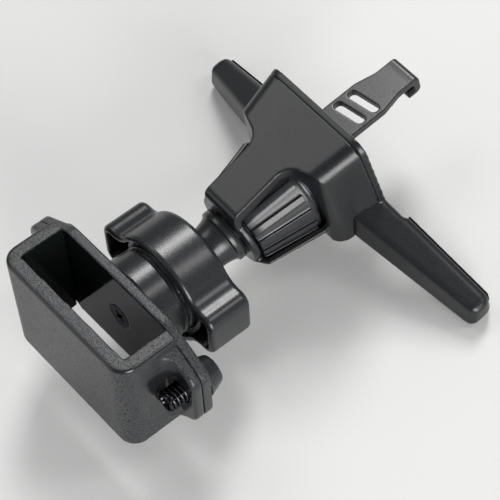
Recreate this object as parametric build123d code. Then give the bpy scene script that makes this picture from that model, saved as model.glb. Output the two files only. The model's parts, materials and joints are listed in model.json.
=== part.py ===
from build123d import *
import math
import os

# Car microphone holder: an open sleeve for the microphone's clip, on a ball joint
# with a winged lock nut, carried by an air vent clip with a screw-drawn hook.
# Millimetres. +Y runs along the vent clip from the sleeve to the hook, +X along the
# clip's arms and +Z up. Pieces are drawn about the ball's centre, and save() moves
# them to the origin: the clip's rear face, on the axis of its screw.

# How the sleeve stands on its ball at rest, in degrees
SLEEVE_PITCH = 14.0
SLEEVE_YAW = 2.2

# Clearances
RUN_FIT = 0.06
THREAD_FIT = 0.08
SLIDE_GAP = 0.25
BALL_GAP = 0.3
SCREW_GAP = 0.1
FACE_GAP = 0.3
FIT_UP_GAP = 0.05
STOP_GAP = 0.2

# Sleeve for the microphone's clip
POCKET_WIDTH = 34.0
POCKET_THICK = 10.9
SLEEVE_HEIGHT = 28.0
SHELL_WALL = 3.4
SHELL_CORNER = 4.0
SHELL_BLEND = 3.0
RIM_ROUND = 0.8
FLANGE_THICK = 2.4
PLATE_THICK = 2.4
FLANGE_TOP_WIDTH = 31.6
FLANGE_END_HEIGHT = 13.6
FLANGE_CORNER = 4.0
FLANGE_ROUND = 0.6

# Screws at the sleeve's ears
EAR_SPACING = 46.0
EAR_MARGIN = 4.6
EAR_SCREW_RADIUS = 2.5
EAR_SCREW_OUT = 4.1
EAR_HEX = 2.5
EAR_HEX_DEPTH = 2.0
EAR_NUT_BASE = 4.6
EAR_NUT_TOP = 3.2
EAR_NUT_HEIGHT = 4.0
EAR_NUT_ROUND = 0.8
EAR_SCREW_IN = 2.8
SCOOP_RADIUS = 5.6
SCOOP_OFFSET = 1.4
SCOOP_DEPTH = 5.0
SCOOP_ROUND = 4.0

# Centre screw between plate and socket
CENTRE_SCREW_RADIUS = 1.5
CENTRE_HEAD_RADIUS = 3.0
CENTRE_HEAD_DEPTH = 1.6
CENTRE_SCREW_LENGTH = 5.2
CROSS_WIDTH = 0.7
CROSS_LENGTH = 3.0
CROSS_DEPTH = 1.0

# Ball joint
BALL_RADIUS = 8.5
PLATE_TO_BALL = 14.9
SOCKET_RADIUS = 10.75
SOCKET_NECK_RADIUS = 9.4
SOCKET_NECK_HEIGHT = 1.2
NUT_RADIUS = 13.5
NUT_FRONT = 4.9
NUT_REAR = 6.1
NUT_SKIN = 1.5
NUT_COLLAR_WALL = 1.4
NUT_COLLAR_LENGTH = 3.2
WING_SPAN = 36.6
WING_WIDTH = 12.0
WING_CORNER = 3.0
WING_BLEND = 5.0
NUT_EDGE_ROUND = 1.2
LIP_ANGLE = 58.0
MOUTH_RADIUS = 8.5

# Stem behind the ball
NECK_RADIUS = 5.0
NECK_FLARE_RADIUS = 5.8
NECK_END = 13.2
RING_RADIUS = 6.4
RING_THICK = 2.0
SHAFT_RADIUS = 5.0
STEM_BORE_RADIUS = 2.9
CLIP_GROOVE_RADIUS = 4.3
CLIP_THICK = 0.8
CLIP_RADIUS = 6.4
CLIP_MOUTH = 5.0
SHAFT_PAST_CLIP = 0.8

# Hood of the vent clip
FRONT_WALL = 1.8
FRONT_WALL_RADIUS = 8.8
FRONT_WALL_ROUND = 0.8
CRADLE_EDGE = 4.0
CRADLE_WALL = 1.4
HOOD_FRONT_HALF = 4.4
BRIDGE_REAR_HALF = 4.8
FLARE_HALF = 13.0
FLARE_LENGTH = 2.6
HOOD_REAR_HALF = 14.9
FLARE_INNER_ROUND = 4.5
FLARE_OUTER_ROUND = 1.0
HOOD_DRAFT = 5.5
TOP_FRONT = 11.1
TOP_REAR = 16.3
BOTTOM_FRONT = 8.8
BOTTOM_REAR = 10.6
HOOD_WALL = 2.0
HOOD_EDGE_ROUND = 3.8
HOOD_NOSE_ROUND = 2.2
REAR_PLATE = 1.5

# Thumb wheel
WHEEL_FRONT_RADIUS = 9.3
WHEEL_REAR_RADIUS = 12.0
WHEEL_LENGTH = 14.0
WHEEL_WEB_START = 2.6
WHEEL_WEB = 3.8
WHEEL_RECESS_RADIUS = 7.4
WHEEL_CAVITY_RADIUS = 7.9
JOURNAL_RADIUS = 9.0
JOURNAL_LENGTH = 1.9
RIBS = 18
RIB_TURN = 14.5
RIB_WIDTH = 1.6
RIB_HEIGHT = 0.6
RIB_STOP = 1.0
WHEEL_RIM = 0.8
WHEEL_CLEAR = 0.5
WASHER_THICK = 0.6
WASHER_RADIUS = 10.4

# Hook and its screw
SCREW_RADIUS = 2.5
SCREW_SPARE = 0.6
HOOK_TRAVEL_IN = 13.0
HOOK_TRAVEL_OUT = 2.0
STRAP_WIDTH = 9.8
STRAP_THICK = 2.0
STRAP_TOP = 5.5
BLOCK_LENGTH = 4.0
BLOCK_DROP = 3.4
NECK_WIDTH = 7.6
HOOK_REACH = 23.0
NECK_LENGTH = 5.9
SHOULDER_LENGTH = 5.0
SHOULDER_ROUND = 3.0
SHOULDER_DROP = 1.5
HOOK_DEPTH = 5.2
HOOK_LEG = 1.8
HOOK_LIP = 1.8
HOOK_LIP_THICK = 1.2
HOOK_ROUND = 1.4
SLOTS_FROM_END = (16.6, 12.6)
SLOT_LENGTH = 8.0
SLOT_WIDTH = 2.2
SLOT_SLANT = 9.5
PIN_RADIUS = 0.75
TIP_PAD_THICK = 1.2
PAD_GAP = 0.3

# Arms and their rubber pads
ARM_ROOT_X = 12.6
ARM_TIP_X = 45.8
ARM_ROOT_DEPTH = 8.0
ARM_TIP_DEPTH = 4.6
ARM_ROOT_HEIGHT = 7.8
ARM_ROOT_LEAN = 2.0
ARM_TIP_LEAN = 1.8
ARM_TIP_HEIGHT = 6.4
ARM_ROOT_TOP = -2.4
ARM_TIP_TOP = -14.6
ARM_SWEEP = 1.8
ARM_ROUND = 1.5
ARM_END_ROUND = 2.0
ARM_FIT = 0.1
PAD_START_X = 22.0
PAD_END_GAP = 1.8
PAD_THICK = 1.2
PAD_EDGE = 1.5
PAD_ROUND = 0.5

# Screws that close the clip
CASE_SCREW_X = 8.2
CASE_SCREW_DROP = 5.1
CASE_SCREW_RADIUS = 1.1
CASE_SCREW_LENGTH = 7.0
CASE_HEAD_RADIUS = 2.0
CASE_HEAD_THICK = 1.2
CASE_BOSS_RADIUS = 2.4
CASE_HEAD_SINK = 0.7

# Places that follow from the sizes
BALL_SEAT = BALL_RADIUS + BALL_GAP
RING_START = NECK_END
RING_END = RING_START + RING_THICK
HOOD_FRONT = RING_END + FACE_GAP
WALL_END = HOOD_FRONT + FRONT_WALL
WHEEL_START = WALL_END + FACE_GAP
WHEEL_END = WHEEL_START + WHEEL_LENGTH
WASHER_START = WHEEL_END + FIT_UP_GAP
BEARING_WALL_START = WASHER_START + WASHER_THICK + FIT_UP_GAP
BEARING_WALL_END = BEARING_WALL_START + HOOD_WALL
CLIP_START = WALL_END + FIT_UP_GAP
SHAFT_END = CLIP_START + CLIP_THICK + SHAFT_PAST_CLIP
WEB_START = WHEEL_START + WHEEL_WEB_START
WEB_END = WEB_START + WHEEL_WEB
FLARE_START = WHEEL_END
FLARE_END = FLARE_START + FLARE_LENGTH
SCREW_FRONT = WEB_START - HOOK_TRAVEL_OUT - SCREW_SPARE
STEM_BORE_START = SCREW_FRONT - HOOK_TRAVEL_IN - STOP_GAP
BLOCK_START = WEB_END + HOOK_TRAVEL_IN + STOP_GAP
BLOCK_END = BLOCK_START + BLOCK_LENGTH
PIN_PLACE = BLOCK_START + BLOCK_LENGTH / 2
SEAM = BLOCK_END + HOOK_TRAVEL_OUT + STOP_GAP
HOOD_REAR = SEAM + REAR_PLATE
HOOK_END = HOOD_REAR + HOOK_REACH
SHOULDER_END = HOOK_END - NECK_LENGTH
SHOULDER_START = SHOULDER_END - SHOULDER_LENGTH
ARM_TIP_REAR = HOOD_REAR + ARM_SWEEP
ARM_END_START = ARM_TIP_X - ARM_END_ROUND
CASE_SCREW_Z = TOP_REAR - CASE_SCREW_DROP
SHELL_FRONT = POCKET_THICK + SHELL_WALL
SHELL_HALF = POCKET_WIDTH / 2 + SHELL_WALL
FLANGE_WIDTH = EAR_SPACING + 2 * EAR_MARGIN
OUTSIDE = 4 * HOOD_REAR_HALF
STRAP_BOTTOM = STRAP_TOP - STRAP_THICK
NECK_TOP = STRAP_TOP - SHOULDER_DROP
HOOK_LOW = NECK_TOP - HOOK_DEPTH


def save(part, name):
    os.makedirs("parts", exist_ok=True)
    export_step(Pos(0, -HOOD_REAR, 0) * part, "parts/" + name + ".step")


def along_y(radius, start, end, x=0.0, z=0.0):
    """A round bar along Y from start to end."""
    bar = Cylinder(radius, end - start)
    return Pos(x, (start + end) / 2, z) * Rot(90, 0, 0) * bar


def turned(points):
    """A solid turned about Y from (radius, y) points."""
    outline = make_face(Polyline(*[(r, y) for r, y in points], close=True))
    return revolve(outline, Axis.Y)


def block(x0, x1, y0, y1, z0, z1):
    """A box from its two corners."""
    middle = Pos((x0 + x1) / 2, (y0 + y1) / 2, (z0 + z1) / 2)
    return middle * Box(x1 - x0, y1 - y0, z1 - z0)


def in_holder(part):
    """Carries a piece from the sleeve's own frame to its place at rest."""
    return Rot(0, 0, SLEEVE_YAW) * Rot(-SLEEVE_PITCH, 0, 0) * Pos(0, -PLATE_TO_BALL, 0) * part


def on_ball(part):
    """Carries a piece drawn about the ball's centre, on the sleeve's axis, to its place at rest."""
    return Rot(0, 0, SLEEVE_YAW) * Rot(-SLEEVE_PITCH, 0, 0) * part


# Sleeve and its fasteners, drawn with the plate's front face on y = 0

def ear_outline(thick, y0):
    """The six-sided plate outline of the flange, with rounded corners."""
    half = FLANGE_WIDTH / 2
    top = FLANGE_TOP_WIDTH / 2
    high = SLEEVE_HEIGHT / 2
    low = FLANGE_END_HEIGHT / 2
    points = [(-half, low), (-top, high), (top, high), (half, low),
              (half, -low), (top, -high), (-top, -high), (-half, -low)]
    face = make_face(Polyline(*points, close=True))
    face = fillet(face.vertices(), FLANGE_CORNER)
    plate = extrude(Plane.XZ * face, amount=thick)
    return Pos(0, y0 + thick, 0) * plate


def shell_plan():
    """The sleeve and its flange seen along the pocket, with the hollow blends between them."""
    wide = FLANGE_WIDTH / 2
    right = [(SHELL_HALF, -SHELL_FRONT), (SHELL_HALF, -FLANGE_THICK), (wide, -FLANGE_THICK), (wide, 0)]
    left = [(-x, y) for x, y in reversed(right)]
    face = make_face(Polyline(*right, *left, close=True))
    corners = [v for v in face.vertices() if v.Y < -SHELL_FRONT + 0.1]
    face = fillet(corners, SHELL_CORNER)
    inner = [v for v in face.vertices() if abs(abs(v.X) - SHELL_HALF) + abs(v.Y + FLANGE_THICK) < 0.1]
    return fillet(inner, SHELL_BLEND)


def sleeve_shell():
    high = SLEEVE_HEIGHT / 2
    bar = Pos(0, 0, -high) * extrude(shell_plan(), amount=SLEEVE_HEIGHT)
    box = bar & block(-SHELL_HALF, SHELL_HALF, -SHELL_FRONT, 0, -high, high)
    ends = [e for e in box.edges() if abs(e.center().Z) > high - 0.01 and e.center().Y < -FLANGE_THICK - 0.1]
    box = fillet(ends, RIM_ROUND)
    flange = ear_outline(FLANGE_THICK, -FLANGE_THICK)
    flange = fillet(flange.faces().sort_by(Axis.Y)[0].edges(), FLANGE_ROUND)
    blend_end = SHELL_HALF + SHELL_BLEND
    blends = bar & block(-blend_end, blend_end, -SHELL_FRONT, 0, -high, high)
    blends = blends & ear_outline(FLANGE_THICK + SHELL_BLEND, -FLANGE_THICK - SHELL_BLEND)
    shell = box + blends + flange
    for side in (-1, 1):
        x = side * (EAR_SPACING / 2 + SCOOP_OFFSET)
        scoop = along_y(SCOOP_RADIUS, -FLANGE_THICK - SCOOP_DEPTH, -FLANGE_THICK, x)
        shell -= fillet(scoop.edges().group_by(Axis.Y)[0], SCOOP_ROUND)
        shell -= along_y(EAR_SCREW_RADIUS + SCREW_GAP, -FLANGE_THICK - 1, 1, side * EAR_SPACING / 2)
    return shell - block(-POCKET_WIDTH / 2, POCKET_WIDTH / 2, -POCKET_THICK, 1, -SLEEVE_HEIGHT, SLEEVE_HEIGHT)


def back_plate():
    plate = ear_outline(PLATE_THICK, 0)
    plate = fillet(plate.faces().sort_by(Axis.Y)[-1].edges(), FLANGE_ROUND)
    for side in (-1, 1):
        plate -= along_y(EAR_SCREW_RADIUS + SCREW_GAP, -1, PLATE_THICK + 1, side * EAR_SPACING / 2)
    plate -= along_y(CENTRE_SCREW_RADIUS + SCREW_GAP, -1, PLATE_THICK + 1)
    sink = turned([(0, -1), (CENTRE_HEAD_RADIUS + SCREW_GAP, -1), (CENTRE_HEAD_RADIUS + SCREW_GAP, 0),
                   (CENTRE_SCREW_RADIUS + SCREW_GAP, CENTRE_HEAD_DEPTH), (0, CENTRE_HEAD_DEPTH)])
    return plate - sink


def ear_screw(x):
    start = -FLANGE_THICK - EAR_SCREW_OUT
    screw = along_y(EAR_SCREW_RADIUS, start, PLATE_THICK + EAR_SCREW_IN, x)
    screw = chamfer(screw.edges().group_by(Axis.Y)[0], 0.4)
    socket_cut = extrude(Plane.XZ * RegularPolygon(EAR_HEX / 2, 6, major_radius=False), amount=-EAR_HEX_DEPTH)
    return screw - Pos(x, start, 0) * socket_cut


def ear_nut(x):
    nut = Pos(x, PLATE_THICK, 0) * turned([(0, 0), (EAR_NUT_BASE, 0), (EAR_NUT_TOP, EAR_NUT_HEIGHT),
                                           (0, EAR_NUT_HEIGHT)])
    nut = fillet(nut.edges().group_by(Axis.Y)[-1], EAR_NUT_ROUND)
    return nut - along_y(EAR_SCREW_RADIUS + SCREW_GAP, PLATE_THICK - 1, PLATE_THICK + EAR_SCREW_IN + 0.3, x)


def centre_screw():
    screw = turned([(0, 0), (CENTRE_HEAD_RADIUS, 0), (CENTRE_SCREW_RADIUS, CENTRE_HEAD_DEPTH),
                    (CENTRE_SCREW_RADIUS, CENTRE_SCREW_LENGTH), (0, CENTRE_SCREW_LENGTH)])
    for turn in (0, 90):
        cross = Rot(0, turn + 45, 0) * Box(CROSS_LENGTH, 2 * CROSS_DEPTH, CROSS_WIDTH)
        screw -= cross
    return screw


# Socket, lock nut and stem, drawn about the ball's centre

def socket():
    start = PLATE_THICK - PLATE_TO_BALL
    body = turned([(0, start), (SOCKET_NECK_RADIUS, start),
                   (SOCKET_NECK_RADIUS, start + SOCKET_NECK_HEIGHT),
                   (SOCKET_RADIUS, start + SOCKET_NECK_HEIGHT), (SOCKET_RADIUS, 0), (0, 0)])
    body -= Sphere(BALL_SEAT)
    screw_end = CENTRE_SCREW_LENGTH - PLATE_TO_BALL
    return body - along_y(CENTRE_SCREW_RADIUS + SCREW_GAP, start - 1, screw_end + 0.2)


def nut_outline(shrink):
    """The lock nut's round body with its two wings, shrunk evenly by a wall."""
    wings = RectangleRounded(WING_SPAN - 2 * shrink, WING_WIDTH - 2 * shrink, WING_CORNER - shrink)
    outline = Circle(NUT_RADIUS - shrink) + wings
    inner = [v for v in outline.vertices() if abs((v.X ** 2 + v.Y ** 2) ** 0.5 - NUT_RADIUS + shrink) < 0.01]
    return fillet(inner, WING_BLEND + shrink)


def lock_nut():
    body = extrude(Plane.XZ * nut_outline(0), amount=-(NUT_FRONT + NUT_REAR))
    body = Pos(0, -NUT_FRONT, 0) * body
    rear = body.faces().sort_by(Axis.Y)[-1]
    body = fillet(rear.edges(), NUT_EDGE_ROUND)
    hollow = extrude(Plane.XZ * nut_outline(NUT_SKIN), amount=-(NUT_FRONT + NUT_REAR - NUT_SKIN))
    hollow = Pos(0, -NUT_FRONT, 0) * hollow
    bore = SOCKET_RADIUS + THREAD_FIT
    collar_top = BALL_GAP
    core = along_y(bore + NUT_COLLAR_WALL, collar_top - NUT_COLLAR_LENGTH, NUT_REAR - NUT_SKIN)
    nut = body - (hollow - core)
    lip = math.radians(LIP_ANGLE)
    lip_radius = BALL_SEAT * math.sin(lip)
    lip_place = BALL_SEAT * math.cos(lip)
    nut -= along_y(bore, -NUT_FRONT - 1, collar_top)
    nut -= Sphere(BALL_SEAT)
    mouth = turned([(0, lip_place), (lip_radius, lip_place), (MOUTH_RADIUS, NUT_REAR),
                    (MOUTH_RADIUS, NUT_REAR + 1), (0, NUT_REAR + 1)])
    return nut - mouth


def ball_stem():
    neck_start = math.sqrt(BALL_RADIUS ** 2 - NECK_RADIUS ** 2) - 0.2
    neck_half = (neck_start + NECK_END) / 2
    stem = turned([(0, neck_start), (NECK_RADIUS, neck_start), (NECK_RADIUS, neck_half),
                   (NECK_FLARE_RADIUS, NECK_END), (RING_RADIUS, RING_START), (RING_RADIUS, RING_END),
                   (SHAFT_RADIUS, RING_END), (SHAFT_RADIUS, CLIP_START - FIT_UP_GAP / 2),
                   (CLIP_GROOVE_RADIUS, CLIP_START - FIT_UP_GAP / 2),
                   (CLIP_GROOVE_RADIUS, CLIP_START + CLIP_THICK + FIT_UP_GAP),
                   (SHAFT_RADIUS, CLIP_START + CLIP_THICK + FIT_UP_GAP), (SHAFT_RADIUS, SHAFT_END),
                   (0, SHAFT_END)])
    stem += Sphere(BALL_RADIUS)
    return stem - along_y(STEM_BORE_RADIUS, STEM_BORE_START, SHAFT_END + 1)


def stem_clip():
    ring = along_y(CLIP_RADIUS, CLIP_START, CLIP_START + CLIP_THICK)
    ring -= along_y(CLIP_GROOVE_RADIUS + FIT_UP_GAP, CLIP_START - 1, CLIP_START + CLIP_THICK + 1)
    return ring - block(-CLIP_MOUTH / 2, CLIP_MOUTH / 2, 0, 2 * CLIP_START, -2 * CLIP_RADIUS, 0)


# Vent clip

def hood_plan(shrink, front):
    """The hood's outline seen from above: a narrow bridge that flares behind the wheel."""
    right = [(HOOD_FRONT_HALF, front), (BRIDGE_REAR_HALF, FLARE_START),
             (FLARE_HALF, FLARE_END), (HOOD_REAR_HALF, HOOD_REAR)]
    left = [(-x, y) for x, y in reversed(right)]
    face = make_face(Polyline(*right, *left, close=True))
    inner = [v for v in face.vertices() if abs(v.Y - FLARE_START) < 0.01]
    face = fillet(inner, FLARE_INNER_ROUND)
    outer = [v for v in face.vertices() if abs(v.Y - FLARE_END) < 0.01]
    face = fillet(outer, FLARE_OUTER_ROUND)
    return offset(face, -shrink) if shrink else face


def hood_profile(shrink, front, nose=0):
    """The hood's side view, as a solid wide enough to cut the plan to height."""
    points = [(front, TOP_FRONT - shrink), (HOOD_REAR + 1, TOP_REAR - shrink),
              (HOOD_REAR + 1, -BOTTOM_REAR + shrink), (front, -BOTTOM_FRONT + shrink)]
    face = make_face(Polyline(*points, close=True))
    if nose:
        face = fillet([v for v in face.vertices() if abs(v.X - front) < 0.01 and v.Y > 0], nose)
    wide = 3 * HOOD_REAR_HALF
    return Pos(-wide / 2, 0, 0) * extrude(Plane.YZ * face, amount=wide)


def hood_solid():
    """The hood as one solid: a wide drafted block with round top edges, cut to the plan."""
    top = TOP_REAR + 1
    spread = (HOOD_REAR_HALF - FLARE_HALF) / (HOOD_REAR - FLARE_END)
    front_half = HOOD_REAR_HALF - spread * (HOOD_REAR - HOOD_FRONT)
    corners = [(front_half, HOOD_FRONT), (HOOD_REAR_HALF, HOOD_REAR),
               (-HOOD_REAR_HALF, HOOD_REAR), (-front_half, HOOD_FRONT)]
    wide = make_face(Polyline(*corners, close=True))
    depth = top + BOTTOM_REAR + 1
    solid = extrude(Pos(0, 0, top) * wide, amount=depth, dir=(0, 0, -1), taper=-HOOD_DRAFT)
    solid = solid & hood_profile(0, HOOD_FRONT)
    solid = solid & block(-OUTSIDE, OUTSIDE, HOOD_FRONT, HOOD_REAR, -OUTSIDE, OUTSIDE)
    edges = solid.faces().sort_by(Axis.Z)[-1].edges()
    solid = fillet([e for e in edges if abs(e.center().X) > HOOD_FRONT_HALF], HOOD_EDGE_ROUND)
    plan = Pos(0, 0, top) * hood_plan(0, HOOD_FRONT)
    solid = solid & extrude(plan, amount=depth, dir=(0, 0, -1), taper=-HOOD_DRAFT)
    return solid & hood_profile(0, HOOD_FRONT, HOOD_NOSE_ROUND)


def wheel_outline(clear):
    """The thumb wheel's cone over its ribs as (radius, y) points, grown by a clearance."""
    start = WHEEL_START - min(max(clear, 0), FACE_GAP)
    front, rear = WHEEL_FRONT_RADIUS + clear, WHEEL_REAR_RADIUS + clear
    return [(0, start), (front, start), (rear, WHEEL_END - WHEEL_RIM), (rear, WHEEL_END), (0, WHEEL_END)]


def arm_solid(side, grow):
    """One tapered arm: a bar with a leaning front from the hood to its tip, drooping on the way."""
    def section(x, depth, height, lean, rear, top, out):
        points = [(out, out), (-depth - out, out), (-depth - lean - out, -height - out), (out, -height - out)]
        face = make_face(Polyline(*points, close=True))
        face = fillet(face.vertices(), ARM_ROUND + 0.6 * min(out, 0))
        return Plane(origin=(side * x, rear, top), x_dir=(0, 1, 0), z_dir=(1, 0, 0)) * face
    root = section(ARM_ROOT_X, ARM_ROOT_DEPTH, ARM_ROOT_HEIGHT, ARM_ROOT_LEAN, HOOD_REAR, ARM_ROOT_TOP, grow)
    tip_size = (ARM_TIP_DEPTH, ARM_TIP_HEIGHT, ARM_TIP_LEAN, ARM_TIP_REAR, ARM_TIP_TOP)
    arm = loft([root, section(ARM_END_START, *tip_size, grow)])
    steps = [0, 30, 60, 78]
    for low, high in zip(steps, steps[1:]):
        ends = []
        for angle in (low, high):
            x = ARM_END_START + ARM_END_ROUND * math.sin(math.radians(angle))
            ends.append(section(x, *tip_size, grow - ARM_END_ROUND * (1 - math.cos(math.radians(angle)))))
        arm += loft(ends)
    return arm


def cradle():
    """The lower half of the wheel's housing, which follows the wheel's cone."""
    out = WHEEL_CLEAR + CRADLE_WALL
    cup = turned([(0, HOOD_FRONT), (FRONT_WALL_RADIUS, HOOD_FRONT), (WHEEL_FRONT_RADIUS + out, WALL_END),
                  (WHEEL_REAR_RADIUS + out, WHEEL_END - WHEEL_RIM),
                  (WHEEL_REAR_RADIUS + out, BEARING_WALL_END), (0, BEARING_WALL_END)])
    return cup & block(-OUTSIDE, OUTSIDE, HOOD_FRONT, BEARING_WALL_END, -OUTSIDE, -CRADLE_EDGE)


def hood():
    shell = hood_solid() - block(-OUTSIDE, OUTSIDE, 0, FLARE_START, -OUTSIDE, 0)
    front = along_y(FRONT_WALL_RADIUS, HOOD_FRONT, WALL_END)
    shell += fillet(front.edges().group_by(Axis.Y)[0], FRONT_WALL_ROUND)
    shell += cradle()
    inner_plan = Pos(0, 0, TOP_REAR + 1) * hood_plan(HOOD_WALL, HOOD_FRONT)
    inner = extrude(inner_plan, amount=TOP_REAR + BOTTOM_REAR + 2, dir=(0, 0, -1), taper=-HOOD_DRAFT)
    inner = inner & hood_profile(HOOD_WALL, HOOD_FRONT)
    inner = inner & block(-OUTSIDE, OUTSIDE, BEARING_WALL_END, SEAM + 5, -OUTSIDE, OUTSIDE)
    inner += block(-HOOD_REAR_HALF + HOOD_WALL, HOOD_REAR_HALF - HOOD_WALL, SEAM - 1, SEAM + 5,
                   -BOTTOM_REAR + HOOD_WALL + 0.5, TOP_REAR - HOOD_WALL - 0.5)
    for side in (-1, 1):
        boss = along_y(CASE_BOSS_RADIUS, BEARING_WALL_END - 1, SEAM, side * CASE_SCREW_X, CASE_SCREW_Z)
        inner -= boss
    shell -= inner
    cone = turned(wheel_outline(WHEEL_CLEAR))
    cone += along_y(WHEEL_REAR_RADIUS + WHEEL_CLEAR, WHEEL_END - 1, BEARING_WALL_START)
    shell -= cone
    shell -= along_y(SHAFT_RADIUS + RUN_FIT, HOOD_FRONT - 1, WALL_END + 1)
    shell -= along_y(JOURNAL_RADIUS + RUN_FIT, BEARING_WALL_START - 1, BEARING_WALL_END + 1)
    for side in (-1, 1):
        shell -= arm_solid(side, ARM_FIT)
        shell -= along_y(CASE_SCREW_RADIUS + FIT_UP_GAP, SEAM - CASE_SCREW_LENGTH, SEAM + 1,
                         side * CASE_SCREW_X, CASE_SCREW_Z)
    return shell & block(-OUTSIDE, OUTSIDE, HOOD_FRONT, SEAM, -OUTSIDE, OUTSIDE)


def strap_opening():
    """The slot in the rear plate, tall enough to pass the hook's bent end."""
    half = STRAP_WIDTH / 2 + SLIDE_GAP
    low, high = STRAP_BOTTOM - SHOULDER_DROP, STRAP_TOP + SHOULDER_DROP
    return block(-half, half, SEAM - 1, HOOD_REAR + 1, low, high)


def arm_frame():
    frame = hood_solid() & block(-OUTSIDE, OUTSIDE, SEAM, HOOD_REAR, -OUTSIDE, OUTSIDE)
    for side in (-1, 1):
        frame += arm_solid(side, 0)
        x = side * CASE_SCREW_X
        frame -= along_y(CASE_SCREW_RADIUS + SCREW_GAP, SEAM - 1, HOOD_REAR + 1, x, CASE_SCREW_Z)
        head_start = HOOD_REAR - CASE_HEAD_SINK
        frame -= along_y(CASE_HEAD_RADIUS + SCREW_GAP, head_start, HOOD_REAR + 1, x, CASE_SCREW_Z)
    return frame - strap_opening()


def arm_pad(side):
    """A rubber pad on the rear face of one arm."""
    def section(x):
        share = (x - ARM_ROOT_X) / (ARM_END_START - ARM_ROOT_X)
        rear = HOOD_REAR + share * (ARM_TIP_REAR - HOOD_REAR)
        top = ARM_ROOT_TOP + share * (ARM_TIP_TOP - ARM_ROOT_TOP)
        height = ARM_ROOT_HEIGHT + share * (ARM_TIP_HEIGHT - ARM_ROOT_HEIGHT)
        shape = Rectangle(PAD_THICK, height - 2 * PAD_EDGE)
        return Plane(origin=(side * x, rear + PAD_THICK / 2, top - height / 2), x_dir=(0, 1, 0),
                     z_dir=(side, 0, 0)) * shape
    pad = loft([section(PAD_START_X), section(ARM_TIP_X - PAD_END_GAP)])
    outer = pad.faces().sort_by(Axis.Y)[-1]
    return fillet(outer.edges(), PAD_ROUND)


def case_screw(side):
    start = HOOD_REAR - CASE_HEAD_SINK
    screw = along_y(CASE_HEAD_RADIUS, start, start + CASE_HEAD_THICK)
    screw = fillet(screw.edges().group_by(Axis.Y)[-1], 0.4)
    screw += along_y(CASE_SCREW_RADIUS, SEAM - CASE_SCREW_LENGTH + 0.4, start)
    for turn in (0, 90):
        cross = Rot(0, turn + 45, 0) * Box(CASE_HEAD_RADIUS * 1.2, CASE_HEAD_THICK, CROSS_WIDTH)
        screw -= Pos(0, start + CASE_HEAD_THICK, 0) * cross
    return Pos(side * CASE_SCREW_X, 0, CASE_SCREW_Z) * screw


def thumb_wheel():
    wheel = turned(wheel_outline(-RIB_HEIGHT))
    ribs = Part() + [Rot(0, RIB_TURN + i * 360 / RIBS, 0) * block(-RIB_WIDTH / 2, RIB_WIDTH / 2, WHEEL_START,
                     WHEEL_END - WHEEL_RIM - RIB_STOP, WHEEL_RECESS_RADIUS, OUTSIDE) for i in range(RIBS)]
    wheel += ribs & turned(wheel_outline(0))
    wheel += along_y(JOURNAL_RADIUS, WHEEL_END - 1, WHEEL_END + JOURNAL_LENGTH)
    wheel -= along_y(WHEEL_RECESS_RADIUS, WHEEL_START - 1, WEB_START)
    wheel -= along_y(WHEEL_CAVITY_RADIUS, WEB_END, WHEEL_END + JOURNAL_LENGTH + 1)
    return wheel - along_y(SCREW_RADIUS + RUN_FIT, WEB_START - 1, WEB_END + 1)


def wheel_washer():
    washer = along_y(WASHER_RADIUS, WASHER_START, WASHER_START + WASHER_THICK)
    return washer - along_y(JOURNAL_RADIUS + FACE_GAP, WASHER_START - 1, WASHER_START + WASHER_THICK + 1)


def lead_screw():
    screw = along_y(SCREW_RADIUS, SCREW_FRONT, BLOCK_END - 0.4)
    screw = chamfer(screw.edges().group_by(Axis.Y)[0], 0.4)
    return screw - Pos(0, PIN_PLACE, 0) * Rot(0, 90, 0) * Cylinder(PIN_RADIUS + FIT_UP_GAP, 4 * SCREW_RADIUS)


def screw_pin():
    return Pos(0, PIN_PLACE, 0) * Rot(0, 90, 0) * Cylinder(PIN_RADIUS, STRAP_WIDTH - 0.4)


def strap_plan():
    """The hook strap seen from above, wide to its shoulders and narrow at the hook."""
    wide = STRAP_WIDTH / 2
    narrow = NECK_WIDTH / 2
    right = [(wide, BLOCK_START), (wide, SHOULDER_START), (narrow, SHOULDER_END), (narrow, HOOK_END)]
    left = [(-x, y) for x, y in reversed(right)]
    face = make_face(Polyline(*right, *left, close=True))
    bends = [v for v in face.vertices() if SHOULDER_START - 1 < v.Y < SHOULDER_END + 1]
    return fillet(bends, SHOULDER_ROUND)


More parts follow.
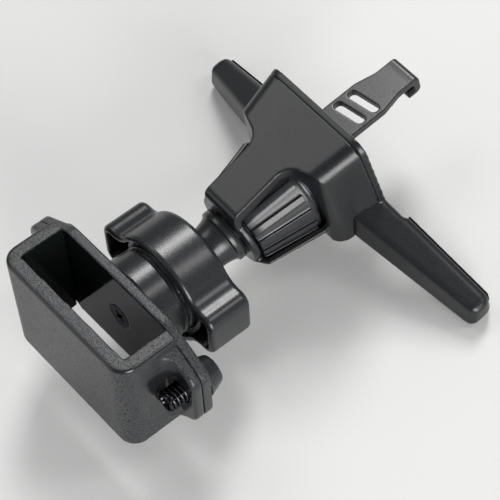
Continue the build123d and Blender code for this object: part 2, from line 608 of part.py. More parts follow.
def hook_strap():
    inner = HOOK_END - HOOK_LEG
    side_view = [(BLOCK_START, STRAP_TOP), (SHOULDER_START, STRAP_TOP), (SHOULDER_END, NECK_TOP),
                 (HOOK_END, NECK_TOP), (HOOK_END, HOOK_LOW), (inner - HOOK_LIP, HOOK_LOW),
                 (inner - HOOK_LIP, HOOK_LOW + HOOK_LIP_THICK), (inner, HOOK_LOW + HOOK_LIP_THICK),
                 (inner, NECK_TOP - STRAP_THICK), (SHOULDER_END, NECK_TOP - STRAP_THICK),
                 (SHOULDER_START, STRAP_BOTTOM), (BLOCK_END, STRAP_BOTTOM), (BLOCK_END, -BLOCK_DROP),
                 (BLOCK_START, -BLOCK_DROP)]
    face = make_face(Polyline(*side_view, close=True))
    face = fillet([v for v in face.vertices() if abs(v.X - HOOK_END) < 0.01], HOOK_ROUND)
    bends = [v for v in face.vertices() if SHOULDER_START - 0.1 < v.X < SHOULDER_END + 0.1]
    face = fillet(bends, SHOULDER_ROUND)
    strip = Pos(-STRAP_WIDTH, 0, 0) * extrude(Plane.YZ * face, amount=2 * STRAP_WIDTH)
    tall = Pos(0, 0, -20) * extrude(strap_plan(), amount=40)
    strap = strip & tall
    for back in SLOTS_FROM_END:
        slot = Rot(0, 0, SLOT_SLANT) * SlotOverall(SLOT_LENGTH, SLOT_WIDTH)
        strap -= Pos(0, HOOK_END - back, 0) * extrude(slot, amount=20)
    strap -= along_y(SCREW_RADIUS + FIT_UP_GAP, BLOCK_START - 1, BLOCK_END - 0.3)
    return strap - Pos(0, PIN_PLACE, 0) * Rot(0, 90, 0) * Cylinder(PIN_RADIUS + FIT_UP_GAP, 2 * STRAP_WIDTH)


def hook_tip_pad():
    """The rubber lining inside the hook's bent end."""
    rear = HOOK_END - HOOK_LEG
    half = NECK_WIDTH / 2
    low, high = HOOK_LOW + HOOK_LIP_THICK, NECK_TOP - STRAP_THICK - PAD_GAP
    return block(-half, half, rear - TIP_PAD_THICK, rear, low, high)


save(in_holder(sleeve_shell()), "sleeve_shell")
save(in_holder(back_plate()), "back_plate")
save(Compound([in_holder(ear_screw(s * EAR_SPACING / 2)) for s in (-1, 1)]), "ear_screws")
save(Compound([in_holder(ear_nut(s * EAR_SPACING / 2)) for s in (-1, 1)]), "ear_nuts")
save(in_holder(centre_screw()), "centre_screw")
save(on_ball(socket()), "socket")
save(on_ball(lock_nut()), "lock_nut")
save(ball_stem(), "ball_stem")
save(stem_clip(), "stem_clip")
save(hood(), "hood")
save(arm_frame(), "arm_frame")
save(arm_pad(-1), "arm_pad_left")
save(arm_pad(1), "arm_pad_right")
save(Compound([case_screw(s) for s in (-1, 1)]), "case_screws")
save(thumb_wheel(), "thumb_wheel")
save(wheel_washer(), "wheel_washer")
save(lead_screw(), "lead_screw")
save(screw_pin(), "screw_pin")
save(hook_strap(), "hook_strap")
save(hook_tip_pad(), "hook_tip_pad")
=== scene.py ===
import json
import math

import bmesh
import bpy
import numpy as np
from mathutils import Matrix, Vector

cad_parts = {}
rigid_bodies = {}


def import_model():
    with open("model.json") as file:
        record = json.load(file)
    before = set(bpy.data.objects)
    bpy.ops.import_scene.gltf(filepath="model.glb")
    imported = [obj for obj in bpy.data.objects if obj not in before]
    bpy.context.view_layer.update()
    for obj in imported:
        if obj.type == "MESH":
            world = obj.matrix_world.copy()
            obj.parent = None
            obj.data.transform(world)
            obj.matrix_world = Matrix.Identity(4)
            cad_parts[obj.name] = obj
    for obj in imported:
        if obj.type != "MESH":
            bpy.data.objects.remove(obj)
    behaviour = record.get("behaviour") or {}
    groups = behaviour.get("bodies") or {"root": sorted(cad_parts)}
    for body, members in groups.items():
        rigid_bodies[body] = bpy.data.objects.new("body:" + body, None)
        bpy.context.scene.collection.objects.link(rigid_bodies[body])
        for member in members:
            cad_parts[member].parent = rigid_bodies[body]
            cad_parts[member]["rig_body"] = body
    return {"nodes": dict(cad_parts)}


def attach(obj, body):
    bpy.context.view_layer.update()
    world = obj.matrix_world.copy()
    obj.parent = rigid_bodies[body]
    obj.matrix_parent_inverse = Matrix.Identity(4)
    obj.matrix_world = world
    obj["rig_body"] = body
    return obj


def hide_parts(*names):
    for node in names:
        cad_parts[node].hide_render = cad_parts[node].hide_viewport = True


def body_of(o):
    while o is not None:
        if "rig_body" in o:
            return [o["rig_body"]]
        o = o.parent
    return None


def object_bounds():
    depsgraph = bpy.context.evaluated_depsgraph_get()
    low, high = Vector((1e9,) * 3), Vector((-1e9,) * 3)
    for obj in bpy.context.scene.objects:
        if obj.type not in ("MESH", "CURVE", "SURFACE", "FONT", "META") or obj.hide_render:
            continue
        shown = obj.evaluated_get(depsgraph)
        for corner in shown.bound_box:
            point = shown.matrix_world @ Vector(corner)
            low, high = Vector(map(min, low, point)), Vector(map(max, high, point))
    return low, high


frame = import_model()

BOX_BEFORE = [list(corner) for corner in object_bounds()]

# Camera, floor and lights
# The camera stands high to the object's right and looks down on the sleeve and the ball
# joint, as in the photograph. The object lies over a plain pale floor.

MM = 0.001
BALL_MM = np.array([0.0, -44.9, 0.0])
BALL = Vector(BALL_MM * MM)
VIEW_RIGHT = Vector((0.625, 0.75, -0.218)).normalized()
VIEW_BACK = Vector((0.476, -0.145, 0.867))
VIEW_BACK = (VIEW_BACK - VIEW_BACK.dot(VIEW_RIGHT) * VIEW_RIGHT).normalized()
VIEW_UP = VIEW_BACK.cross(VIEW_RIGHT)
BALL_FROM_CAMERA = (-0.01608, -0.00582, -0.38335)

eye = BALL.copy()
for amount, direction in zip(BALL_FROM_CAMERA, (VIEW_RIGHT, VIEW_UP, VIEW_BACK)):
    eye -= amount * direction
camera_data = bpy.data.cameras.new("camera")
camera_data.sensor_width = 36.0
camera_data.lens = 129.6
camera_data.clip_start = 0.01
camera = bpy.data.objects.new("camera", camera_data)
turn = Matrix((VIEW_RIGHT, VIEW_UP, VIEW_BACK)).transposed().to_4x4()
camera.matrix_world = Matrix.Translation(eye) @ turn
bpy.context.collection.objects.link(camera)
bpy.context.scene.camera = camera
bpy.context.scene.view_settings.view_transform = "Standard"


def linear(code):
    """Turns an sRGB hex colour into the linear colour that the shaders use."""
    parts = [int(code[i:i + 2], 16) / 255 for i in (1, 3, 5)]
    return [v / 12.92 if v <= 0.04045 else ((v + 0.055) / 1.055) ** 2.4 for v in parts] + [1.0]


def add(tree, kind, settings=None, **values):
    """Adds a shader node. Settings are its options, and values are its inputs' constants or sockets.

    An input is named by its label, with _ for a space, or by in and its number.
    """
    node = tree.nodes.new("ShaderNode" + kind)
    for key, value in (settings or {}).items():
        setattr(node, key, value)
    for key, value in values.items():
        socket = node.inputs[int(key[2:]) if key.startswith("in") else key.replace("_", " ")]
        if isinstance(value, bpy.types.NodeSocket):
            tree.links.new(value, socket)
        else:
            socket.default_value = value
    return node


def new_material(name):
    """An empty material with its shader and output joined, and its shader."""
    material = bpy.data.materials.new(name)
    material.use_nodes = True
    tree = material.node_tree
    tree.nodes.clear()
    shader = add(tree, "BsdfPrincipled")
    add(tree, "OutputMaterial", Surface=shader.outputs[0])
    return material, tree, shader


# Seamless studio paper, matt and pale.
paper, tree, shader = new_material("studio_paper")
shader.inputs["Base Color"].default_value = linear("#d6d6d5")
shader.inputs["Roughness"].default_value = 0.9
shader.inputs["Specular IOR Level"].default_value = 0.1

FLOOR_HALF, FLOOR_GAP = 3.0, 0.0004
floor_z = BOX_BEFORE[0][2] - FLOOR_GAP
corners = [(x * FLOOR_HALF, y * FLOOR_HALF, floor_z) for x, y in ((-1, -1), (1, -1), (1, 1), (-1, 1))]
floor_mesh = bpy.data.meshes.new("floor")
floor_mesh.from_pydata(corners, [], [(0, 1, 2, 3)])
floor_mesh.materials.append(paper)
floor = bpy.data.objects.new("floor", floor_mesh)
bpy.context.collection.objects.link(floor)

LIGHT_AIM = Vector((0.0, -0.02, 0.0))


def softbox(name, direction, distance, width, height, watts):
    """A soft area light that looks at the middle of the object from a direction."""
    data = bpy.data.lights.new(name, "AREA")
    data.shape = "RECTANGLE"
    data.size = width
    data.size_y = height
    data.energy = watts
    light = bpy.data.objects.new(name, data)
    away = Vector(direction).normalized()
    place = LIGHT_AIM + distance * away
    light.matrix_world = Matrix.Translation(place) @ away.to_track_quat("Z", "Y").to_matrix().to_4x4()
    bpy.context.collection.objects.link(light)


# Two boxes hang above and behind the hook, one overhead to the left, and one stands low
# to the right and one low in front.
softbox("main_softbox", (-0.38, 0.56, 0.74), 1.6, 0.42, 0.64, 17.0)
softbox("second_softbox", (0.42, 0.56, 0.71), 1.6, 0.32, 0.54, 4.0)
softbox("top_softbox", (-0.55, -0.06, 0.83), 1.0, 0.43, 0.37, 1.5)
softbox("side_softbox", (0.93, -0.16, 0.3), 1.4, 0.78, 0.78, 22.0)
softbox("front_softbox", (-0.35, -0.8, 0.35), 1.6, 0.8, 0.64, 2.6)

world = bpy.data.worlds.new("studio")
world.use_nodes = True
bpy.context.scene.world = world
sky = world.node_tree.nodes["Background"]
sky.inputs["Color"].default_value = linear("#f2f3f4")
sky.inputs["Strength"].default_value = 0.25

# Sleeve shell
# One injection moulding in black ABS: the open sleeve and its flange. The outside takes
# a coarse spark-eroded grain from the mould, and the walls of the pocket are polished and
# painted near-black as the shade inside the pocket.

PLATE_TO_BALL = 14.9
PITCH, YAW = math.radians(14.0), math.radians(2.2)
PITCH_TURN = np.array([[1, 0, 0],
                       [0, math.cos(PITCH), math.sin(PITCH)],
                       [0, -math.sin(PITCH), math.cos(PITCH)]])
YAW_TURN = np.array([[math.cos(YAW), -math.sin(YAW), 0],
                     [math.sin(YAW), math.cos(YAW), 0],
                     [0, 0, 1]])
HOLDER_TURN = YAW_TURN @ PITCH_TURN


def on_ball(points):
    """Millimetres about the ball's centre, in the sleeve's directions, to the object's millimetres."""
    return np.asarray(points, float) @ HOLDER_TURN.T + BALL_MM


def in_sleeve(points):
    """Millimetres in the sleeve's own frame, with the plate's front face on y = 0, to the object's."""
    return on_ball(np.asarray(points, float) - [0, PLATE_TO_BALL, 0])


def sleeve_place(points):
    """The object's millimetres to those of the sleeve's own frame."""
    return (points - BALL_MM) @ HOLDER_TURN + [0, PLATE_TO_BALL, 0]


def fade(values, start, end):
    """A straight rise from 0 where a value is at start to 1 where it is at end."""
    return np.clip((values - start) / (end - start), 0, 1)


PATCH_MM, PATCH_TONES = 11.0, (0.84, 1.16)
PIT_NOISE, GRAIN_NOISE = (0.34, 0.56), (0.3, 0.7)
# The last is the share of the colour that polished faces keep, a painted shade for their dark.
SMOOTHER, ROUGHER, POLISHED_PAINTED_SHADE = 0.04, 0.06, 0.4


def moulded_plastic(name, colour, roughness, grain_mm, grain_depth_mm, painted_pit_shade=0.0, glossy=None, specular=0.5):
    """Moulded plastic whose grain is a fine uneven relief with a size in real millimetres.

    The tone drifts a little from patch to patch. pits is the share of the colour and of the shine
    that the grain's hollows lose, a painted shade for their self-shadowing. Where glossy is given,
    the mesh's own gloss value fades the grain out, darkens the colour as a painted shade and takes
    the roughness to that figure, as on the edges and corners that a mould maker polishes.
    """
    material, tree, shader = new_material(name)
    place = add(tree, "TexCoord").outputs["Object"]
    grain = add(tree, "TexNoise", Vector=place, Scale=1 / (grain_mm * MM), Detail=2.0,
                Roughness=0.55).outputs["Fac"]
    patches = add(tree, "TexNoise", Vector=place, Scale=1 / (PATCH_MM * MM), Detail=2.0)
    dark, light = [[v * k for v in linear(colour)[:3]] + [1.0] for k in PATCH_TONES]
    tone = add(tree, "MixRGB", in0=patches.outputs["Fac"], in1=dark, in2=light)
    # Painted shade: the grain's hollows lose some of the colour and of the shine.
    hollow = add(tree, "MapRange", Value=grain, in1=PIT_NOISE[0], in2=PIT_NOISE[1], in3=1 - painted_pit_shade, in4=1.0)
    lit = depth = hollow.outputs[0]
    rough = add(tree, "MapRange", Value=grain, in1=GRAIN_NOISE[0], in2=GRAIN_NOISE[1],
                in3=roughness - SMOOTHER, in4=roughness + ROUGHER).outputs[0]
    bump = add(tree, "Bump", Height=grain, Distance=grain_depth_mm * MM, Strength=1.0)
    if glossy is not None:
        gloss_and_shade = add(tree, "Attribute", {"attribute_name": "gloss_and_shade"}).outputs["Fac"]
        rough = add(tree, "Mix", Factor=gloss_and_shade, in2=rough, in3=glossy).outputs[0]
        grained = add(tree, "Math", {"operation": "SUBTRACT"}, in0=1.0, in1=gloss_and_shade)
        tree.links.new(grained.outputs[0], bump.inputs["Strength"])
        # Painted shade: where the faces are polished, the colour darkens.
        depth = add(tree, "Mix", Factor=gloss_and_shade, in2=lit, in3=POLISHED_PAINTED_SHADE).outputs[0]
        lit = add(tree, "Mix", Factor=gloss_and_shade, in2=lit, in3=1.0).outputs[0]
    shade = add(tree, "VectorMath", {"operation": "SCALE"}, in0=tone.outputs[0], in3=depth)
    level = add(tree, "Math", {"operation": "MULTIPLY"}, in0=lit, in1=specular)
    tree.links.new(shade.outputs[0], shader.inputs["Base Color"])
    tree.links.new(level.outputs[0], shader.inputs["Specular IOR Level"])
    tree.links.new(rough, shader.inputs["Roughness"])
    tree.links.new(bump.outputs[0], shader.inputs["Normal"])
    return material


# ABS with a spark-eroded grain, as on the rims, the ends and the flange.
GRAINED_ABS = moulded_plastic("grained_abs_spark_eroded", "#2e2f31", 0.36, 0.36, 0.12, painted_pit_shade=0.6, glossy=0.2)
# The same ABS with the coarser grain of the sleeve's broad front.
COARSE_ABS = moulded_plastic("coarse_grained_abs_spark_eroded", "#333436", 0.36, 0.5, 0.06,
                             painted_pit_shade=0.75, glossy=0.2)
# The same ABS against a polished mould face, with a faint green cast. Its near-black colour and its faint
# shine are a painted shade for the shadowed pocket that it lines.
POLISHED_ABS_PAINTED_SHADE = moulded_plastic("smooth_abs_polished_mould", "#0f1312", 0.09, 2.5, 0.004, specular=0.03)

MERGE = 2e-6


def rows_of(items, name):
    """The vectors of a mesh's points or faces, as the rows of an array."""
    values = np.empty(3 * len(items))
    items.foreach_get(name, values)
    return values.reshape(-1, 3)


def apply_modifiers(piece):
    """Gives a piece the mesh that its modifiers make, and returns it."""
    shown = piece.evaluated_get(bpy.context.evaluated_depsgraph_get())
    made = bpy.data.meshes.new_from_object(shown)
    piece.modifiers.clear()
    piece.data = made
    return made


def moulded(node, slot, grid_mm, *materials, rounds=6, reshape=None, pick=None, gloss_and_shade=None):
    """Stands for a CAD node with a copy of its mesh whose edges are rounded as a mould leaves them.

    The merged copy is laid on an even grid, and each point then moves towards the mean of its
    neighbours a few times, which leaves flat and wide curved faces where they are and rounds
    the edges. reshape moves the grid's points before that, in millimetres. pick gives the faces'
    material numbers from their centres in millimetres, and gloss gives the points' gloss values,
    which also darken the colour as a painted shade, from their places in millimetres and their normals.
    """
    source = frame["nodes"][node]
    mesh = source.data.copy()
    form = bmesh.new()
    form.from_mesh(mesh)
    bmesh.ops.remove_doubles(form, verts=form.verts, dist=MERGE)
    form.to_mesh(mesh)
    form.free()
    piece = bpy.data.objects.new(node + "_moulded", mesh)
    bpy.context.collection.objects.link(piece)
    even = piece.modifiers.new("even_grid", "REMESH")
    even.mode = "VOXEL"
    even.voxel_size = grid_mm * MM
    made = apply_modifiers(piece)
    if reshape:
        made.vertices.foreach_set("co", (reshape(rows_of(made.vertices, "co") / MM) * MM).ravel())
        made.update()
    soften = piece.modifiers.new("soften", "SMOOTH")
    soften.factor = 0.5
    soften.iterations = rounds
    made = apply_modifiers(piece)
    made.name = node + "_moulded"
    made.materials.clear()
    for material in materials:
        made.materials.append(material)
    if pick:
        made.polygons.foreach_set("material_index", pick(rows_of(made.polygons, "center") / MM))
    if gloss_and_shade:
        points, normals = rows_of(made.vertices, "co") / MM, rows_of(made.vertex_normals, "vector")
        made.attributes.new("gloss_and_shade", "FLOAT", "POINT").data.foreach_set("value", gloss_and_shade(points, normals))
    made.shade_smooth()
    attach(piece, body_of(source)[0])
    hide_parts(node)
    return piece


# The numbers of the sleeve's materials, in the order in which the shell takes them.
GRAINED, POLISHED, COARSE = 0, 1, 2
POCKET_HALF, POCKET_FRONT, SHELL_FRONT, RIM_START = 17.0, -10.9, -14.3, 12.6
FACE_SLACK, FRONT_DEPTH = 0.1, 1.2
POCKET_TOP, FRONT_TOP = RIM_START + 1.3, RIM_START + 0.6


def shell_face(centres):
    """The materials of the faces that line the pocket, of those of the broad front, and of the rest."""
    x, y, z = sleeve_place(centres).T
    lining = (np.abs(x) < POCKET_HALF + FACE_SLACK) & (y > POCKET_FRONT - FACE_SLACK)
    lining &= np.abs(z) < POCKET_TOP
    front = (y < SHELL_FRONT + FRONT_DEPTH) & (np.abs(z) < FRONT_TOP)
    return np.where(lining, POLISHED, np.where(front, COARSE, GRAINED))


EAR_X = 23.0
SCOOP_INNER, SCOOP_OUTER, SCOOP_FRONT, SCOOP_BLEND = 6.5, 8.5, -9.5, 1.5
# How steeply a face looks up or down where a rim's round edge starts and ends, each as a fade.
EDGE_LOW, EDGE_HIGH = (0.15, 0.3), (0.97, 0.92)


def shell_gloss_and_shade(points, normals):
    """The gloss of the sleeve, which also darkens its colour as a painted shade: full in the scoops round
    the ear screws and on the rims' round edges.
    """
    x, y, z = sleeve_place(points).T
    up = np.abs((normals @ HOLDER_TURN)[:, 2])
    from_screw = np.hypot(np.abs(x) - EAR_X, z)
    scoop = fade(from_screw, SCOOP_OUTER, SCOOP_INNER) * fade(y, SCOOP_FRONT, SCOOP_FRONT + SCOOP_BLEND)
    rim = fade(up, *EDGE_LOW) * fade(up, *EDGE_HIGH) * (np.abs(z) > RIM_START)
    return np.maximum(scoop, rim)


moulded("sleeve_shell", "grained_abs", 0.3, GRAINED_ABS, POLISHED_ABS_PAINTED_SHADE, COARSE_ABS,
        pick=shell_face, gloss_and_shade=shell_gloss_and_shade)

# Back plate
# A flat ABS moulding that closes the sleeve's flange. Its front face, which is the
# pocket's rear wall, is polished and painted near-black as the pocket's shade, and the rest has the
# sleeve's grain.

PLATE_SLACK = 0.06


def plate_face(centres):
    """The materials of the faces on the plate's front, and of the rest."""
    return np.where(np.abs(sleeve_place(centres)[:, 1]) < PLATE_SLACK, POLISHED, GRAINED)


moulded("back_plate", "grained_abs", 0.25, GRAINED_ABS, POLISHED_ABS_PAINTED_SHADE, pick=plate_face)

# Ear screws
# 5 mm set screws in black oxide steel with a coarse rolled thread and a hexagon socket.
# They are driven through the flange's ears from the front and stand out of it.


METAL_SMOOTHER, METAL_ROUGHER = 0.06, 0.08


def metal(name, colour, roughness, scratch_mm, edge=1.0):
    """Machined or rolled metal whose gloss varies over fine marks. edge dims it at low angles."""
    material, tree, shader = new_material(name)
    shader.inputs["Metallic"].default_value = 1.0
    shader.inputs["Base Color"].default_value = linear(colour)
    shader.inputs["Specular Tint"].default_value = (edge, edge, edge, 1.0)
    place = add(tree, "TexCoord").outputs["Object"]
    marks = add(tree, "TexNoise", Vector=place, Scale=1 / (scratch_mm * MM), Detail=3.0)
    rough = add(tree, "MapRange", Value=marks.outputs["Fac"], in1=GRAIN_NOISE[0], in2=GRAIN_NOISE[1],
                in3=roughness - METAL_SMOOTHER, in4=roughness + METAL_ROUGHER)
    tree.links.new(rough.outputs[0], shader.inputs["Roughness"])
    return material


# Steel with a rolled thread and a shiny black oxide finish.
BLACK_STEEL = metal("black_oxide_rolled_steel", "#47474a", 0.2, 0.4, edge=0.4)


SAME_POINT = 1e-7


def loops_mesh(name, groups, material, smooth_angle=38.0):
    """A mesh from closed loops of points in the object's millimetres, joined one to the next.

    Each group is (rows, ends): rows is an array of rows by points by 3, and ends is "closed"
    where the last row joins the first, or "capped" where a fan to its middle closes each end.
    """
    points, faces = [], []
    for rows, ends in groups:
        rows = np.asarray(rows, float)
        count, around = rows.shape[:2]
        base = sum(len(p) for p in points)
        points.append(rows.reshape(-1, 3))
        step = np.arange(around)
        ahead = (step + 1) % around
        for i in range(count if ends == "closed" else count - 1):
            a, b = base + i * around, base + (i + 1) % count * around
            faces.extend(np.stack([a + step, a + ahead, b + ahead, b + step], 1).tolist())
        if ends == "capped":
            for row, flip in ((0, True), (count - 1, False)):
                middle = sum(len(p) for p in points)
                points.append(rows[row].mean(0, keepdims=True))
                ring = base + row * around
                fan = np.stack([ring + step, ring + ahead, np.full(around, middle)], 1)
                faces.extend((fan[:, ::-1] if flip else fan).tolist())
    mesh = bpy.data.meshes.new(name)
    mesh.from_pydata((np.concatenate(points) * MM).tolist(), [], faces)
    form = bmesh.new()
    form.from_mesh(mesh)
    bmesh.ops.remove_doubles(form, verts=form.verts, dist=SAME_POINT)
    bmesh.ops.recalc_face_normals(form, faces=form.faces)
    form.to_mesh(mesh)
    form.free()
    mesh.materials.append(material)
    mesh.shade_smooth()
    mesh.set_sharp_from_angle(angle=math.radians(smooth_angle))
    piece = bpy.data.objects.new(name, mesh)
    bpy.context.collection.objects.link(piece)
    return piece


def stand_for(piece, node):
    """Lets a new piece ride with a CAD node's body and show in the node's place."""
    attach(piece, body_of(frame["nodes"][node])[0])
    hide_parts(node)


def ring_angles(around):
    """Evenly spaced angles through a full turn."""
    return np.arange(around) * 2 * math.pi / around


def rings(radius, y, angle):
    """Points about the Y axis from radii, places along it, and angles from +Z towards +X."""
    radius, y, angle = np.broadcast_arrays(radius, y, angle)
    return np.stack([radius * np.sin(angle), y, radius * np.cos(angle)], -1)


def round_rows(profile, around=96):
    """Rows of a turned shape about Y, from (radius, y) pairs, as circles of points."""
    radius, y = np.array(profile).T[:, :, None]
    return rings(radius, y, ring_angles(around))


def thread_rows(radius, pitch, depth, start, end, around=72, per_turn=12, lead_in=0.5, sharpness=1.3):
    """Rows of a threaded bar about Y: a radius that falls by a rounded V along a right-hand helix.

    The radius is R - depth * v, where v is one minus the absolute sine of pi times the phase,
    to the power of the sharpness, and the phase is y / pitch - angle / turn. Near both ends the
    radius shrinks by a 45 degree lead-in.
    """
    angle = ring_angles(around)
    y = np.linspace(start, end, int((end - start) / pitch * per_turn) + 1)[:, None]
    phase = y / pitch - angle / (2 * math.pi)
    radial = radius - depth * (1 - np.abs(np.sin(math.pi * phase))) ** sharpness
    inset = np.maximum(0, lead_in - np.minimum(y - start, end - y))
    return rings(np.minimum(radial, radius - inset), y, angle)


SCREW_R, SCREW_PITCH, SCREW_DEPTH = 2.5, 1.0, 0.5
SCREW_START, SCREW_END, SCREW_AROUND = -6.5, 5.2, 72
HEX_HALF, HEX_DEPTH, BEVEL_WIDTH, BEVEL_DEPTH = 1.25, 2.0, 0.12, 0.15
# A hexagon's radius at an angle is its half width over the cosine of the angle from the
# middle of the nearest side.
angle = ring_angles(SCREW_AROUND)
hexagon = HEX_HALF / np.cos((angle + math.pi / 6) % (math.pi / 3) - math.pi / 6)
recess = [rings(hexagon, SCREW_START + HEX_DEPTH, angle),
          rings(hexagon, SCREW_START + BEVEL_DEPTH, angle),
          rings(hexagon + BEVEL_WIDTH, SCREW_START, angle)]
thread = thread_rows(SCREW_R, SCREW_PITCH, SCREW_DEPTH, SCREW_START, SCREW_END, around=SCREW_AROUND)
screw = np.concatenate([recess, thread])
screws = [(in_sleeve(screw + [side * EAR_X, 0, 0]), "capped") for side in (-1, 1)]
stand_for(loops_mesh("ear_screws_threaded", screws, BLACK_STEEL), "ear_screws")

# Ear nuts
# Domed plastic nuts behind the plate, turned onto the screws' ends by hand. Moulded
# nylon with a satin finish.

# Glass-filled nylon against a finely blasted mould face, a satin near-black.
SATIN_NYLON = moulded_plastic("satin_nylon_fine_blasted", "#1f2022", 0.27, 0.26, 0.014, painted_pit_shade=0.15)
moulded("ear_nuts", "satin_nylon", 0.15, SATIN_NYLON)

# Centre screw
# A countersunk screw with a cross recess, through the plate into the socket. Steel with
# a black oxide finish.

moulded("centre_screw", "black_steel", 0.06, BLACK_STEEL, rounds=3)

# Socket
# The ball's cup, moulded in nylon and held to the plate by the centre screw. Its outside
# is plain near the plate and threaded inside the lock nut.

BALL_SEAT = 8.8
SOCKET_R, SOCKET_START, SOCKET_NECK_R, SOCKET_STEP = 10.75, -12.5, 9.4, -11.3
SCREW_HOLE_R, SCREW_HOLE_DEPTH = 1.6, 2.9
THREAD_START, THREAD_PITCH, THREAD_DEPTH, THREAD_SLOPE, THREAD_LEAD = -5.6, 1.6, 0.5, 0.4, 0.45
# The step's small round, and how far the round's middle lies in from both faces.
STEP_ROUND, STEP_ROUND_MIDDLE = 0.25, 0.07
# Rows set this close beside a round or a slope keep its shading off the long plain face.
SOCKET_HOLD = 0.1
# (radius, y) from the screw's hole to the thread.
plain = [(SCREW_HOLE_R, SOCKET_START + SCREW_HOLE_DEPTH), (SCREW_HOLE_R, SOCKET_START),
         (SOCKET_NECK_R, SOCKET_START), (SOCKET_NECK_R, SOCKET_STEP),
         (SOCKET_R - STEP_ROUND, SOCKET_STEP),
         (SOCKET_R - STEP_ROUND_MIDDLE, SOCKET_STEP + STEP_ROUND_MIDDLE),
         (SOCKET_R, SOCKET_STEP + STEP_ROUND), (SOCKET_R, SOCKET_STEP + STEP_ROUND + SOCKET_HOLD),
         (SOCKET_R, THREAD_START - THREAD_SLOPE - SOCKET_HOLD), (SOCKET_R, THREAD_START - THREAD_SLOPE),
         (SOCKET_R - THREAD_LEAD, THREAD_START)]
seat = [(BALL_SEAT * math.cos(a), -BALL_SEAT * math.sin(a)) for a in np.linspace(0, 1.5, 16)]
thread = thread_rows(SOCKET_R, THREAD_PITCH, THREAD_DEPTH, THREAD_START, 0.0, around=96,
                     lead_in=THREAD_LEAD)
rows = np.concatenate([round_rows(plain), thread, round_rows(seat)])
stand_for(loops_mesh("socket_threaded", [(on_ball(rows), "capped")], SATIN_NYLON), "socket")

# Lock nut
# A winged nut moulded in nylon with a thin skin, hollow from the front, and a threaded
# collar round the socket. Turning it draws the cup onto the ball.

NUT_R, NUT_FRONT, NUT_REAR, NUT_SKIN = 13.5, -4.9, 6.1, 1.5
WING_END, WING_HALF, WING_CORNER, WING_BLEND = 18.3, 6.0, 3.0, 5.0


def nut_outline(shrink, arc_points=14):
    """The nut's outline as (x, z): a circle joined to two wings by hollow blends, moved inwards.

    Each quarter is the circle's arc, the blend's arc, which touches the circle and the wing's
    flat, and the corner's arc. The four quarters mirror one another.
    """
    blend, corner, radius = WING_BLEND + shrink, WING_CORNER - shrink, NUT_R - shrink
    blend_z = WING_HALF + WING_BLEND
    blend_x = math.sqrt((NUT_R + WING_BLEND) ** 2 - blend_z ** 2)
    touch = math.atan2(blend_z, blend_x)
    a = np.linspace(math.pi / 2, touch, 2 * arc_points)
    b = np.linspace(math.pi + touch, 1.5 * math.pi, arc_points)[1:]
    c = np.linspace(math.pi / 2, 0, arc_points)
    corner_x, corner_z = WING_END - WING_CORNER, WING_HALF - WING_CORNER
    quarter = np.concatenate([
        np.stack([radius * np.cos(a), radius * np.sin(a)], 1),
        np.stack([blend_x + blend * np.cos(b), blend_z + blend * np.sin(b)], 1),
        np.stack([corner_x + corner * np.cos(c), corner_z + corner * np.sin(c)], 1)])
    lower = quarter[::-1][1:] * [1, -1]
    right = np.concatenate([quarter, lower])
    left = right[::-1][1:-1] * [-1, 1]
    return np.concatenate([right, left])


def nut_row(shrink, y):
    """One loop of the nut's skin at a place along its axis."""
    flat = nut_outline(shrink)
    return np.stack([flat[:, 0], np.full(len(flat), y), flat[:, 1]], 1)


def ring_row(radius, y):
    """A circle whose points lie at the same angles as the nut's outline."""
    flat = nut_outline(0)
    turn_to = np.arctan2(flat[:, 1], flat[:, 0])
    return np.stack([radius * np.cos(turn_to), np.full(len(flat), y), radius * np.sin(turn_to)], 1)


EDGE_FRONT, EDGE_REAR, HOLD, REAR_HOLD = 1.0, 1.3, 0.06, 0.5
# Over the small round inside the skin's front edge: millimetres off the inside and the edge.
INNER_ROUND = ((0, 0.3), (0.1, 0.08), (0.35, 0))
# Up the inside of the skin and over its front edge, as (distance inwards, y).
inside = [(NUT_SKIN, NUT_REAR - NUT_SKIN)]
inside += [(NUT_SKIN - across, NUT_FRONT + back) for across, back in INNER_ROUND]
# Along the outside, with a quarter circle on each edge and a row held close beside each.
front_round = [(EDGE_FRONT * (1 - math.sin(a)), NUT_FRONT + EDGE_FRONT * (1 - math.cos(a)))
               for a in np.linspace(0, math.pi / 2, 6)]
held = [(0, NUT_FRONT + EDGE_FRONT + HOLD), (0, NUT_REAR - EDGE_REAR - HOLD)]
rear_round = [(EDGE_REAR * (1 - math.cos(a)), NUT_REAR - EDGE_REAR * (1 - math.sin(a)))
              for a in np.linspace(0, math.pi / 2, 9)]
skin = inside + front_round + held + rear_round + [(EDGE_REAR + REAR_HOLD, NUT_REAR)]
# In at the mouth, along the ball's seat, and through the bore round the collar, as (radius, y).
MOUTH_R, LIP, SEAT_END = 8.5, math.radians(58.0), math.radians(88.0)
BORE_R, BORE_END, BORE_BEVEL = 10.83, 0.3, 0.2
COLLAR_R, COLLAR_FRONT, COLLAR_BEVEL = 12.23, -2.9, 0.15
